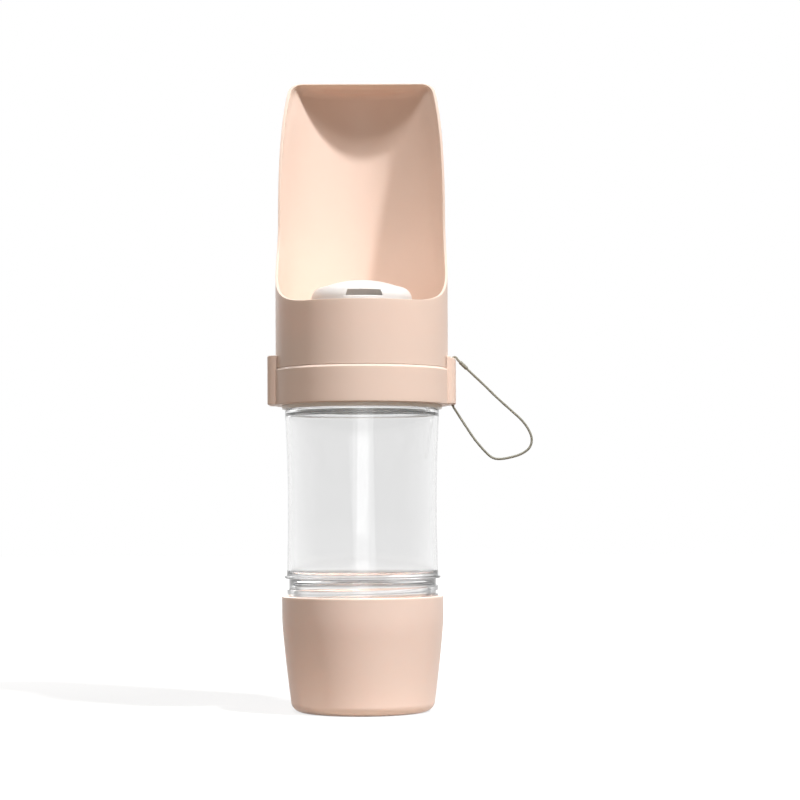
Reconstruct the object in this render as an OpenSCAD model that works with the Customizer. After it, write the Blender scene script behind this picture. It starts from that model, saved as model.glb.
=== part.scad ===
// Travel water bottle for dogs: a drinking trough that turns on a valve, a clear water
// bottle and a food cup on the bottle's lower neck.
// Z is up and the food cup stands on Z = 0. The open front of the trough faces -Y.
// The food cup is drawn part of the way unscrewed, and the valve is drawn shut.

/* [Food cup] */
// Height of the food cup
cup_h = 47; // [44:0.5:60]
// Wall thickness of the band at the rim
cup_band_wall = 2.6; // [2.3:0.1:4]
// Outer diameter of the cup just above its base rounding
cup_base_d = 58.6; // [54:0.2:62]
// Height of the straight band below the rim
cup_band_h = 11; // [9:0.5:16]
// How far the side of the cup bulges between its band and its base
cup_bulge = 0.15; // [0:0.05:0.8]
// Wall thickness of the cup below its band
cup_wall = 2; // [1.4:0.1:2.6]
// Floor thickness of the cup
cup_floor = 2; // [1.4:0.1:3]
// Radius of the rounding round the base
cup_base_r = 4.5; // [3:0.5:8]
// How far the cup is unscrewed from its home against the flange
cup_out = 6.8; // [2:0.2:8]

/* [Bottle] */
// Height of the bottle from its flange to its mouth
bottle_h = 81; // [70:1:110]
// Outer diameter of the bottle just above its flange
bottle_foot_d = 61.8; // [60.8:0.2:63]
// Outer diameter at the waist
waist_d = 60.4; // [57:0.2:61.4]
// Height of the waist above the flange
waist_h = 28; // [20:1:40]
// Outer diameter at the shoulder, below the collar
shoulder_d = 62.8; // [61.6:0.1:64]
// Wall thickness of the bottle
bottle_wall = 1.5; // [1.2:0.1:1.8]
// How far the flange that the food cup closes against stands out
flange_out = 0.85; // [0.6:0.05:1.4]
// Thickness of the flange
flange_t = 1.1; // [0.8:0.1:2]
// Radius of the rounding inside the bottle's floor
floor_r = 8.5; // [4:0.5:10]
// How far the root of the lower neck's thread lies inside the foot of the bottle
foot_step = 1; // [0.6:0.05:1.4]
// Length of the lower neck below the flange
lower_neck_h = 12; // [11:0.5:16]
// How far the root of the upper neck's thread lies inside the shoulder
neck_step = 2.4; // [2:0.05:3]
// Length of the upper neck above the shoulder
upper_neck_h = 12.6; // [11:0.1:16]
// Wall thickness of both necks
neck_wall = 2; // [1.6:0.1:2.4]

/* [Collar] */
// Wall thickness of the collar ring
ring_wall = 3.15; // [2.9:0.05:4.4]
// Height of the collar ring
ring_h = 14.8; // [13.5:0.1:18]
// Chamfer round the top of the collar ring
ring_chamfer = 0.8; // [0.4:0.1:1.2]
// Height of the lip of the neck cap that shows under the collar ring
lip_h = 1.5; // [1:0.1:3]
// Width of each ear
ear_w = 17.2; // [12:0.2:22]
// How far each ear stands out beyond the bore that clears the trough
ear_out = 2.8; // [2.5:0.1:4.4]
// Height of each ear
ear_h = 20; // [18:0.5:24]
// Rounding of the outer edges of the ears
ear_r = 1.2; // [0.6:0.1:2]
// How much the top of the lanyard's ear drops towards its outer end
ear_drop = 1.6; // [0:0.1:3]
// Diameter of the lanyard hole down each ear
lanyard_hole_d = 1.5; // [1.4:0.1:1.6]
// Wall thickness of the neck cap round the bottle's neck
cap_wall = 3.2; // [3:0.1:3.5]
// Thickness of the deck of the neck cap
deck_t = 2.3; // [2:0.1:3]
// Height of the bearing wall of the neck cap above its deck
bearing_h = 8.6; // [8:0.1:9.6]
// Thickness of the bearing wall
bearing_wall = 2.2; // [2:0.1:2.6]

/* [Valve] */
// Room round the valve chamber, up to the inside of the bottle's neck
valve_room = 8.4; // [8:0.1:10]
// Wall thickness of the valve chamber
chamber_wall = 1.7; // [1.5:0.1:2.2]
// Thickness of the turning port plate
plate_t = 2.2; // [1.6:0.1:2.6]
// Diameter of each water port
port_d = 6.6; // [4:0.2:8]
// Distance of the ports from the axis
port_at = 9.8; // [8.6:0.1:11]
// Thickness of the valve gasket
gasket_t = 1.6; // [1.2:0.1:2]
// Depth of the recess that holds the valve gasket
recess_t = 1; // [0.6:0.1:1.1]
// Diameter of the pivot screw's shoulder
pivot_d = 3.4; // [3:0.1:4]
// Distance of the three rotor screws from the outside of the chamber
rotor_screw_out = 4.8; // [4.2:0.1:6]
// Diameter of the rotor screws
rotor_screw_d = 2.4; // [2:0.1:2.6]
// Distance of the air valve from the edge of the gasket
vent_out = 3.8; // [3.4:0.1:4]

/* [Trough] */
// Wall thickness of the trough's skirt round the neck cap
skirt_wall = 2.2; // [1.8:0.1:2.4]
// Height of the trough from its floor to its closed top
trough_h = 107.6; // [90:0.2:130]
// Wall thickness of the trough
trough_wall = 1.8; // [1.4:0.1:2.1]
// Thickness of the trough's floor
trough_floor = 2; // [1.6:0.1:2.6]
// Radius of the rounding round the closed top
top_r = 3.6; // [2.4:0.2:6]
// Radius of the rounding between wall and floor
basin_r = 3; // [2:0.5:5]
// Height of the front lip above the floor
lip_at = 13.5; // [10:0.5:18]
// Radius of the sweep from the front lip up into the side edge
sweep_r = 36; // [30:1:40]
// How far the side edge lies behind the axis at its foremost
edge_back = 7; // [2:0.5:10]
// Radius of the lean of the side edge towards the top
lean_r = 155; // [120:5:240]

/* [Outlet] */
// Gap between the outlet dome and the valve chamber inside it
dome_gap = 0.4; // [0.3:0.1:1.9]
// Height of the outlet dome above the trough's floor
dome_h = 24; // [18:0.5:30]
// Rise of the crown of the dome
crown_h = 3; // [2:0.2:5]
// Radius of the shoulder of the dome
dome_r = 3; // [2:0.2:4]
// Wall thickness of the dome
dome_wall = 1.5; // [1.2:0.1:1.6]
// Width of the water slot
slot_w = 15.3; // [10:0.1:20]
// Height of the water slot
slot_h = 2.3; // [1.6:0.1:3]
// Height of the middle of the water slot above the trough's floor
slot_at = 17.6; // [15:0.1:18]
// How far the sill below the slot stands out from the dome
sill_out = 0.5; // [0.3:0.1:0.8]
// Height of the sill
sill_h = 1.8; // [1:0.1:3]

/* [Lanyard] */
// Diameter of the lanyard cord
cord_d = 1; // [0.8:0.1:1.1]
// Diameter of the crimp sleeve on the lanyard
crimp_d = 1.5; // [1.3:0.1:2]
// Length of the crimp sleeve
crimp_l = 4; // [3:0.5:5]

/* [Hidden] */
$fn = 96;
fit = 0.3; // gap between pieces that turn or slide on each other
snug = 0.1; // gap between pieces that are fixed in each other
running = 0.05; // gap round the pivot screw's shoulder
home_gap = 0.2; // gap that is left under the flange when the cup is screwed home
seal_t = 1.2; // thickness of the mouth seal
ring_groove = 1.6; // height of the grooves for the round seals
groove_depth = 0.9; // depth of the grooves for the seals and for the slide ring
end_wall = 1.2; // material left beyond a groove or a pocket
under_floor = 2; // gap between the bearing wall and the underside of the trough's floor
guide_drop = 2; // height of the bearing wall above the groove of the slide ring
relief_t = 1.8; // depth of the relief in the top of the lanyard's ear
pivot_thread_d = 3;
insert_wall = 0.8;
insert_l = 6;
pillar_wall = 2.2;
hub_wall = 2.3;
hub_h = 2.1;
spring_h = 1.1;
spring_t = 0.4;
washer_t = 0.5;
screw_head_h = 2;
screw_head_r = 3.1;
boss_wall = 1.5;
boss_h = 4.5;
flange_plate_t = 1.6;
gasket_rim = 0.6; // how far the gasket reaches past the valve chamber
rotor_screw_turn = 30;
spigot_h = 4; // height of the valve chamber above the trough's floor
vent_d = 5.6; // diameter of the head of the air valve
vent_stem_d = 1.9;
vent_hole_d = 0.8;
floor_groove = 1.2; // height of the groove of the floor seal
port_turn = 90; // the ports in the deck lie this far round from the ports in the plate
beyond = 10; // how far a cutting shape reaches past what it cuts
EPS = 0.01;

foot_r = bottle_foot_d / 2;
neck_r = foot_r - foot_step;
cup_r = neck_r + fit + cup_band_wall;
flange_z = cup_h + cup_out + home_gap;
mouth_z = flange_z + bottle_h;
shoulder_z = mouth_z - upper_neck_h;
upper_r = shoulder_d / 2 - neck_step;
cap_r = upper_r + fit + cap_wall;
ring_r = cap_r + snug + ring_wall;
cap_z = shoulder_z + fit;
ring_z = cap_z + lip_h;
ring_top = ring_z + ring_h;
deck_z = mouth_z + seal_t;
deck_top = deck_z + deck_t;
bearing_top = deck_top + bearing_h;
guide_z = bearing_top - guide_drop - ring_groove;
skirt_in = cap_r + fit;
trough_r = skirt_in + skirt_wall;
skirt_z = ring_top + fit;
floor_z = bearing_top + under_floor; // underside of the trough's floor
basin_z = floor_z + trough_floor;
top_z = basin_z + trough_h;
chamber_r = upper_r - neck_wall - valve_room;
rotor_screw_at = chamber_r + rotor_screw_out;
gasket_r = chamber_r + gasket_rim;
vent_at = gasket_r + vent_out;
gasket_z = deck_top - recess_t;
rotor_z = gasket_z + gasket_t + snug;
plate_top = rotor_z + plate_t;
hub_top = plate_top + hub_h;
washer_z = hub_top + spring_h + snug;
head_z = washer_z + washer_t;
boss_z = floor_z - boss_h;
insert_z = deck_z - insert_l + end_wall;
seal_z = basin_z - (trough_floor + floor_groove) / 2; // the floor seal sits in mid-floor
cup_seal_z = flange_z - lower_neck_h + end_wall;
vent_x = -vent_at * sin(45);
vent_y = vent_at * sin(45);
ear_top = ring_z + ear_h;
ear_reach = trough_r + fit + ear_out;
hole_x = (trough_r + fit + ear_reach) / 2;
pink = [0.91, 0.78, 0.71];
white = [0.95, 0.95, 0.93];
clear = [0.86, 0.89, 0.9, 0.4];
rubber = [0.82, 0.84, 0.84];
steel = [0.72, 0.73, 0.74];

// Route of the lanyard in the plane Y = 0, as [X, Z]: up out of the right ear, over its top
// edge and down one side of the loop, measured from the top of the hole
OVER = [
    [0, -9.2], [0, -4.7], [0, -2.2], [0.3, -0.7], [1.5, -0.5], [2.8, -2], [7.3, -6.4],
    [12.8, -11.6], [18.3, -17], [23.8, -22]
];
// The rest of the loop and its way back up into the hole, measured from the hole's lower end
UNDER = [
    [28.1, -6], [30.9, -9.8], [32.3, -13.8], [31.3, -17.4], [27.9, -19.9], [22.9, -21.4],
    [18.7, -21.9], [15.9, -21.1], [12.9, -18.4], [8.9, -13.6], [4.9, -7.6], [1.9, -2.9],
    [0.2, 0], [0, 2.8], [0, 10.4]
];
ROUTE = concat(
    [for (p = OVER) [hole_x + p.x, ear_top + p.y]],
    [for (p = UNDER) [hole_x + p.x, ring_z + p.y]]
);
CORD_STEPS = 2;
CORD_SIDES = 8;

// Points of an arc about c, from angle a to angle b
function arc(c, r, a, b, n = 8) =
    [for (i = [0 : n]) [c.x + r * cos(a + (b - a) * i / n), c.y + r * sin(a + (b - a) * i / n)]];

// Radius of the outside of the food cup at a height between its base and its band
function cup_side(z) =
    let (t = (z - cup_base_r) / (cup_h - cup_band_h - cup_base_r))
    cup_base_d / 2 + (cup_r - cup_base_d / 2) * t + 4 * cup_bulge * t * (1 - t);

// Radius of the outside of the bottle at a height above its flange
function bottle_side(h) =
    let (top_h = bottle_h - upper_neck_h)
    h < waist_h
        ? waist_d / 2 + (foot_r - waist_d / 2) * pow((waist_h - h) / waist_h, 2)
        : waist_d / 2 + (shoulder_d - waist_d) / 2 * pow((h - waist_h) / (top_h - waist_h), 2);

module revolve(points) {
    rotate_extrude() polygon(points);
}

module tube(r_out, r_in, z, h) {
    translate([0, 0, z])
        difference() {
            cylinder(r = r_out, h = h);
            translate([0, 0, -1]) cylinder(r = r_in, h = h + 2);
        }
}

// A round seal ring of width w and height h, with its section rounded to a stadium
module seal_ring(r_out, w, z, h) {
    c = min(w, h) * 0.3;
    revolve([
        [r_out - w + c, z], [r_out - c, z], [r_out, z + c], [r_out, z + h - c],
        [r_out - c, z + h], [r_out - w + c, z + h], [r_out - w, z + h - c], [r_out - w, z + c]
    ]);
}

module ring_of(n, r, turn = 0) {
    for (i = [0 : n - 1])
        rotate([0, 0, turn + i * 360 / n])
            translate([r, 0, 0])
                children();
}

module food_cup() {
    band_z = cup_h - cup_band_h;
    bore_r = neck_r + fit;
    step_z = band_z - 2;
    rim_r = 0.5;
    flat_r = cup_base_d / 2 - cup_base_r;
    steps = 10;
    outside = concat(
        arc([flat_r, cup_base_r], cup_base_r, -90, 0),
        [for (i = [1 : steps]) let (z = cup_base_r + (band_z - cup_base_r) * i / steps) [cup_side(z), z]],
        arc([cup_r - rim_r, cup_h - rim_r], rim_r, 0, 90, 4)
    );
    inside = concat(
        [[bore_r, cup_h], [bore_r, step_z]],
        [for (i = [0 : steps])
            let (z = step_z - 2 - (step_z - 2 - cup_base_r) * i / steps)
            [min(bore_r, cup_side(z) - cup_wall), z]],
        arc([flat_r, cup_base_r], max(cup_base_r - cup_wall, 0.5), 0, -90)
    );
    color(pink)
        difference() {
            revolve(concat([[0, 0]], outside, [[0, cup_h]]));
            revolve(concat([[0, cup_h + 1], [bore_r, cup_h + 1]], inside, [[0, cup_floor]]));
        }
}

// Ring that seals the bottle's lower neck in the bore of the food cup
module food_cup_seal() {
    color(rubber)
        seal_ring(neck_r, groove_depth - snug, cup_seal_z + snug, ring_groove - 2 * snug);
}

module bottle_body() {
    wall_top = bottle_h - upper_neck_h;
    in_r = foot_r - bottle_wall;
    inner_floor = flange_t + 0.8;
    inner_neck = upper_r - neck_wall;
    steps = 9;
    foot_h = flange_t + 1.2;
    rise = concat(
        [for (i = [0 : steps - 1]) foot_h + (waist_h - foot_h) * i / steps],
        [for (i = [0 : steps]) waist_h + (wall_top - waist_h) * i / steps]
    );
    outside = concat(
        [[foot_r + flange_out, 0.2], [foot_r + flange_out, flange_t]],
        [for (h = rise) [bottle_side(h), h]],
        [[upper_r, wall_top], [upper_r, bottle_h]]
    );
    inside = concat(
        [[0, inner_floor]],
        arc([in_r - floor_r, inner_floor + floor_r], floor_r, -90, 0),
        [for (h = rise)
            if (h > inner_floor + floor_r + 1 && h < wall_top - 3) [bottle_side(h) - bottle_wall, h]],
        [[inner_neck, wall_top - 0.5], [inner_neck, bottle_h + 1], [0, bottle_h + 1]]
    );
    color(clear)
        translate([0, 0, flange_z])
            difference() {
                revolve(concat(
                    [[0, -lower_neck_h], [neck_r, -lower_neck_h], [neck_r, 0]],
                    outside,
                    [[0, bottle_h]]
                ));
                revolve(inside);
                // hollow below the floor, which the food fills
                revolve(concat(
                    [[0, -lower_neck_h - 1], [neck_r - neck_wall, -lower_neck_h - 1]],
                    arc([neck_r - neck_wall - 3, -3.1], 3, 0, 90),
                    [[0, -0.1]]
                ));
                tube(neck_r + 1, neck_r - groove_depth, cup_seal_z - flange_z, ring_groove);
            }
}

module bottle_seal() {
    color(rubber)
        seal_ring(upper_r + fit - snug, neck_wall + 0.4, mouth_z + running, seal_t - 2 * running);
}

module neck_cap() {
    thread_r = upper_r + fit;
    pillar_r = pivot_thread_d / 2 + insert_wall + pillar_wall;
    insert_r = pivot_thread_d / 2 + insert_wall + running;
    color(white)
        difference() {
            union() {
                tube(cap_r, thread_r, cap_z, deck_z - cap_z + EPS);
                translate([0, 0, deck_z]) cylinder(r = cap_r, h = deck_t);
                tube(cap_r, cap_r - bearing_wall, deck_top - EPS, bearing_h + EPS);
                translate([0, 0, deck_z - insert_l]) cylinder(r = pillar_r, h = insert_l + EPS);
            }
            translate([0, 0, gasket_z]) cylinder(r = gasket_r + snug, h = recess_t + 1);
            translate([0, 0, insert_z]) cylinder(r = insert_r, h = insert_l + deck_t);
            ring_of(2, port_at, port_turn) translate([0, 0, deck_z - 1]) cylinder(d = port_d, h = deck_t + 2);
            translate([vent_x, vent_y, deck_z - 1]) {
                cylinder(d = vent_stem_d + 2 * running, h = deck_t + 2);
                ring_of(4, (vent_stem_d + vent_d) / 4, 45) cylinder(d = vent_hole_d, h = deck_t + 2);
            }
            tube(cap_r + 1, cap_r - groove_depth, guide_z, ring_groove);
        }
}

// Outline of an ear, seen from above: square at its root, with rounded outer corners
module ear_outline(side) {
    reach = ear_reach;
    root = trough_r - 2;
    scale([side, 1])
        union() {
            translate([root, -ear_w / 2]) square([reach - ear_r - root, ear_w]);
            translate([reach - ear_r - EPS, -ear_w / 2 + ear_r]) square([ear_r + EPS, ear_w - 2 * ear_r]);
            for (s = [-1, 1])
                translate([reach - ear_r, s * (ear_w / 2 - ear_r)]) circle(r = ear_r, $fn = 32);
        }
}

module collar_ring() {
    color(pink)
        difference() {
            union() {
                revolve([
                    [cap_r + snug, ring_z], [ring_r - 0.4, ring_z], [ring_r, ring_z + 0.4],
                    [ring_r, ring_top - ring_chamfer], [ring_r - ring_chamfer, ring_top],
                    [cap_r + snug, ring_top]
                ]);
                for (side = [-1, 1])
                    translate([0, 0, ring_z + 0.2]) linear_extrude(height = ear_h - 0.2) ear_outline(side);
            }
            translate([0, 0, ring_z - 1]) cylinder(r = cap_r + snug, h = ring_h + 2);
            translate([0, 0, ring_top]) cylinder(r = trough_r + fit, h = ear_h);
            for (side = [-1, 1])
                translate([side * hole_x, 0, ring_z - 1]) cylinder(d = lanyard_hole_d, h = ear_h + 2);
            // sloping top of the lanyard's ear, and the relief in which the lanyard bends over it
            translate([trough_r - 1, 0, ear_top])
                rotate([0, atan(ear_drop / (ear_reach - trough_r + 1)), 0])
                    translate([0, -ear_w, 0])
                        cube([ear_h, 2 * ear_w, ear_h]);
            translate([hole_x, -lanyard_hole_d / 2, ear_top - relief_t])
                cube([ear_h, lanyard_hole_d, ear_h]);
        }
}

module valve_gasket() {
    bore_r = pivot_thread_d / 2 + insert_wall + fit;
    color(rubber)
        translate([0, 0, gasket_z])
            difference() {
                cylinder(r = gasket_r, h = gasket_t);
                translate([0, 0, -1]) cylinder(r = bore_r, h = gasket_t + 2);
                ring_of(2, port_at, port_turn) translate([0, 0, -1]) cylinder(d = port_d, h = gasket_t + 2);
            }
}

// Mushroom valve that lets air into the bottle as the water leaves it
module vent_valve() {
    stem_r = vent_stem_d / 2;
    top = deck_t + 1.4;
    color(rubber)
        translate([vent_x, vent_y, deck_z])
            revolve([
                [0, -1.4], [vent_d / 2 - 0.6, -0.7], [vent_d / 2, -running], [stem_r, -running],
                [stem_r, deck_t + running], [1.5, deck_t + running], [0.7, top], [0, top]
            ]);
}

module brass_insert() {
    length = insert_l - 1;
    band_h = 1.2;
    r = pivot_thread_d / 2 + insert_wall;
    color([0.78, 0.62, 0.32])
        difference() {
            union() {
                translate([0, 0, insert_z]) cylinder(r = r - 0.2, h = length);
                for (i = [0 : 2])
                    translate([0, 0, insert_z + i * (length - band_h) / 2]) cylinder(r = r, h = band_h);
            }
            translate([0, 0, insert_z - 1]) cylinder(d = pivot_thread_d, h = insert_l + 2);
        }
}

module pivot_screw() {
    tip_z = insert_z + 0.4;
    shoulder_foot = deck_z + 0.2;
    edge_r = 1.2;
    recess_w = 0.7;
    recess_l = screw_head_r;
    color(steel)
        difference() {
            union() {
                translate([0, 0, tip_z])
                    cylinder(d = pivot_thread_d - 2 * running, h = shoulder_foot - tip_z + EPS);
                translate([0, 0, shoulder_foot]) cylinder(d = pivot_d, h = head_z - shoulder_foot + EPS);
                translate([0, 0, head_z])
                    revolve(concat(
                        [[0, 0], [screw_head_r, 0]],
                        arc([screw_head_r - edge_r, screw_head_h - edge_r], edge_r, 0, 90, 5),
                        [[0, screw_head_h]]
                    ));
            }
            for (a = [0, 90])
                rotate([0, 0, a])
                    translate([-recess_l / 2, -recess_w / 2, head_z + screw_head_h / 2])
                        cube([recess_l, recess_w, screw_head_h]);
        }
}

module pivot_washer() {
    color(steel) tube(screw_head_r - snug, pivot_d / 2 + running, washer_z, washer_t - running);
}

// Cone washer that presses the port plate down on the gasket
module disc_spring() {
    r_in = pivot_d / 2 + 2 * running;
    r_out = pivot_d / 2 + hub_wall;
    color(steel)
        revolve([
            [r_in, hub_top + spring_h - spring_t], [r_out, hub_top + running],
            [r_out, hub_top + running + spring_t], [r_in, hub_top + spring_h]
        ]);
}

// Split slide ring that centres the trough on the neck cap
module guide_ring() {
    guide_split = 3;
    color(white)
        difference() {
            tube(skirt_in - snug, cap_r - groove_depth + snug, guide_z + snug, ring_groove - 2 * snug);
            translate([-guide_split / 2, 0, guide_z - 1]) cube([guide_split, trough_r, ring_groove + 2]);
        }
}

// Side profile of the trough's open front, as [Y, Z]: a flat front lip, a round sweep up
// into the side edge, and an edge that leans back towards the closed top
module opening_profile() {
    sweep_y = edge_back - sweep_r;
    lip_z = basin_z + lip_at;
    sweep_z = lip_z + sweep_r;
    front = -trough_r - beyond;
    above = trough_h + beyond;
    translate([front, lip_z]) square([sweep_y - front, above]);
    intersection() {
        translate([sweep_y, sweep_z]) circle(r = sweep_r);
        translate([sweep_y - 1, lip_z - 1]) square([sweep_r + 2, sweep_r + 1 + EPS]);
    }
    difference() {
        translate([sweep_y - 1, sweep_z]) square([trough_r - sweep_y, above]);
        translate([edge_back + lean_r, sweep_z]) circle(r = lean_r);
    }
}

module trough() {
    in_r = trough_r - trough_wall;
    roof_z = top_z - trough_wall;
    in_top = top_r - trough_wall + 1;
    color(pink)
        difference() {
            union() {
                revolve(concat(
                    [[0, floor_z], [skirt_in, floor_z], [skirt_in, skirt_z]],
                    [[trough_r - 0.3, skirt_z], [trough_r, skirt_z + 0.3]],
                    arc([trough_r - top_r, top_z - top_r], top_r, 0, 90),
                    [[0, top_z]]
                ));
                ring_of(3, rotor_screw_at, rotor_screw_turn)
                    translate([0, 0, boss_z]) cylinder(d = rotor_screw_d + 2 * boss_wall, h = boss_h + 1);
            }
            revolve(concat(
                [[0, basin_z]],
                arc([in_r - basin_r, basin_z + basin_r], basin_r, -90, 0),
                arc([in_r - in_top, roof_z - in_top], in_top, 0, 90),
                [[0, roof_z]]
            ));
            translate([0, 0, floor_z - 1]) cylinder(r = chamber_r + 2 * snug, h = trough_floor + 2);
            ring_of(3, rotor_screw_at, rotor_screw_turn)
                translate([0, 0, boss_z - 1]) cylinder(d = rotor_screw_d - 0.4, h = boss_h);
            translate([-trough_r - beyond, 0, 0])
                rotate([90, 0, 90])
                    linear_extrude(height = 2 * (trough_r + beyond)) opening_profile();
        }
}

// Turning half of the valve: its port plate, the chamber above it and the flange that is
// screwed up against the bosses under the trough
module valve_rotor() {
    flange_top = boss_z - running;
    flange_r = rotor_screw_at + rotor_screw_d / 2 + boss_wall;
    color(white)
        difference() {
            union() {
                translate([0, 0, rotor_z]) cylinder(r = chamber_r, h = plate_t);
                tube(chamber_r, chamber_r - chamber_wall, rotor_z, basin_z + spigot_h - rotor_z);
                tube(flange_r, chamber_r - chamber_wall, flange_top - flange_plate_t, flange_plate_t);
                translate([0, 0, plate_top - EPS]) cylinder(d = pivot_d + 2 * hub_wall, h = hub_h + EPS);
            }
            translate([0, 0, rotor_z - 1]) cylinder(r = pivot_d / 2 + running, h = hub_top - rotor_z + 2);
            ring_of(2, port_at) translate([0, 0, rotor_z - 1]) cylinder(d = port_d, h = plate_t + 2);
            ring_of(3, rotor_screw_at, rotor_screw_turn)
                translate([0, 0, flange_top - flange_plate_t - 1])
                    cylinder(d = rotor_screw_d + 0.3, h = flange_plate_t + 2);
            tube(chamber_r + 1, chamber_r - groove_depth, seal_z, floor_groove);
        }
}

// Three small screws, head down, that hold the rotor's flange to the bosses of the trough
module rotor_screws() {
    head_top = boss_z - running - flange_plate_t - running;
    head_h = 1.2;
    head_d = rotor_screw_d + 1.4;
    recess_w = 0.5;
    color(steel)
        ring_of(3, rotor_screw_at, rotor_screw_turn) {
            translate([0, 0, head_top - head_h])
                difference() {
                    cylinder(d = head_d, h = head_h);
                    for (a = [0, 90])
                        rotate([0, 0, a])
                            translate([-head_d / 4, -recess_w / 2, -head_h / 2])
                                cube([head_d / 2, recess_w, head_h]);
                }
            translate([0, 0, head_top - EPS]) cylinder(d = rotor_screw_d - 0.5, h = boss_h + EPS);
        }
}

module floor_seal() {
    reach = 1.5 * snug;
    color(rubber)
        seal_ring(chamber_r + reach, groove_depth + reach - snug, seal_z + snug, floor_groove - 2 * snug);
}

module dome_outline(r, shoulder, top) {
    rise = top - crown_h;
    crown_r = (pow(r - shoulder, 2) + pow(crown_h, 2)) / (2 * crown_h);
    tilt = asin((r - shoulder) / crown_r);
    polygon(concat(
        [[0, -1], [r, -1]],
        arc([r - shoulder, rise - shoulder], shoulder, 0, 90 - tilt, 8),
        arc([0, top - crown_r], crown_r, 90 - tilt, 90, 12)
    ));
}

module outlet_dome() {
    r = chamber_r + dome_gap + dome_wall;
    slot_z = basin_z + slot_at;
    sill_top = slot_at - slot_h / 2;
    sill_w = slot_w + 1;
    color(white)
        difference() {
            translate([0, 0, basin_z])
                difference() {
                    union() {
                        rotate_extrude() dome_outline(r, dome_r, dome_h);
                        intersection() {
                            translate([0, 0, sill_top - sill_h]) cylinder(r = r + sill_out, h = sill_h);
                            translate([-sill_w / 2, -r - 2, 0]) cube([sill_w, r, dome_h]);
                        }
                    }
                    rotate_extrude() dome_outline(r - dome_wall, dome_r - dome_wall / 2, dome_h - dome_wall);
                    translate([0, 0, -2]) cylinder(r = r + 1, h = 2 + running);
                }
            translate([-slot_w / 2, -r - 1, slot_z - slot_h / 2]) cube([slot_w, 8, slot_h]);
        }
}

// Smooth curve through the points of a route
function smooth_point(p, i, t) =
    let (
        a = p[max(i - 1, 0)], b = p[i], c = p[i + 1], d = p[min(i + 2, len(p) - 1)]
    )
    0.5 * (2 * b + (c - a) * t + (2 * a - 5 * b + 4 * c - d) * t * t + (3 * b - a - 3 * c + d) * t * t * t);

function smooth_route(p, steps) = concat(
    [for (i = [0 : len(p) - 2], s = [0 : steps - 1]) smooth_point(p, i, s / steps)],
    [p[len(p) - 1]]
);

function unit(v) = v / norm(v);

// Tube along a path in the plane Y = 0
module cord_tube(path, d, sides) {
    last = len(path) - 1;
    rings = [for (i = [0 : last])
        let (
            t = unit(path[min(i + 1, last)] - path[max(i - 1, 0)]),
            side = [-t.y, t.x]
        )
        for (k = [0 : sides - 1])
            let (a = 360 * (k + 0.5) / sides)
            [path[i].x + d / 2 * cos(a) * side.x, d / 2 * sin(a), path[i].y + d / 2 * cos(a) * side.y]];
    wall = [for (i = [0 : last - 1], k = [0 : sides - 1])
        let (n = (k + 1) % sides, a = i * sides, b = a + sides)
        each [[a + k, b + k, b + n], [a + k, b + n, a + n]]];
    ends = concat(
        [[for (k = [0 : sides - 1]) k]],
        [[for (k = [sides - 1 : -1 : 0]) last * sides + k]]
    );
    polyhedron(points = rings, faces = concat(wall, ends));
}

module lanyard() {
    color([0.6, 0.6, 0.55])
        cord_tube(smooth_route(ROUTE, CORD_STEPS), cord_d, CORD_SIDES);
}

// Sleeve that joins the ends of the lanyard, close outside the ear
module lanyard_crimp() {
    color([0.58, 0.57, 0.5])
        translate([hole_x + 3.2, 0, ear_top - 2.4])
            rotate([0, 134, 0])
                difference() {
                    cylinder(d = crimp_d, h = crimp_l);
                    translate([0, 0, -1]) cylinder(d = cord_d + 0.1, h = crimp_l + 2);
                }
}

food_cup();
food_cup_seal();
bottle_body();
bottle_seal();
neck_cap();
collar_ring();
valve_gasket();
vent_valve();
brass_insert();
pivot_screw();
pivot_washer();
disc_spring();
guide_ring();
trough();
valve_rotor();
rotor_screws();
floor_seal();
outlet_dome();
lanyard();
lanyard_crimp();
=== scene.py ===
"""Looks of a travel water bottle for dogs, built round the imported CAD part.

Lengths named in this file are in millimetres and pass through mm() or the mesh helpers, which
turn them into Blender's metres.
"""
import math

import bmesh
import bpy
import numpy as np
from mathutils import Matrix, Vector


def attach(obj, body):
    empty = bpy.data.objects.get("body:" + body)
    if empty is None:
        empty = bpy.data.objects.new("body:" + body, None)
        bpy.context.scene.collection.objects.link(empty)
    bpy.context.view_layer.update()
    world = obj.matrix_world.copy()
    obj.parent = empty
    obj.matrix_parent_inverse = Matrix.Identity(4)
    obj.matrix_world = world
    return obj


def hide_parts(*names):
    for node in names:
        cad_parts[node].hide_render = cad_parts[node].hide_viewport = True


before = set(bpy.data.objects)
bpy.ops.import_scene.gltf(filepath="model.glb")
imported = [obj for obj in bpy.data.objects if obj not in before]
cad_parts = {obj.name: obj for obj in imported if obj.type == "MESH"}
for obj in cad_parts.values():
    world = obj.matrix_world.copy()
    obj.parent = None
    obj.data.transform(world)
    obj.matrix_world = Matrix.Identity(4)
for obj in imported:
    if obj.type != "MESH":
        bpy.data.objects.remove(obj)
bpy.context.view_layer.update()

TAU = 2 * math.pi


def mm(*values):
    scaled = [v * 0.001 for v in values]
    return scaled[0] if len(scaled) == 1 else tuple(scaled)


def add_object(name, data):
    obj = bpy.data.objects.new(name, data)
    bpy.context.scene.collection.objects.link(obj)
    return obj


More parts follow.
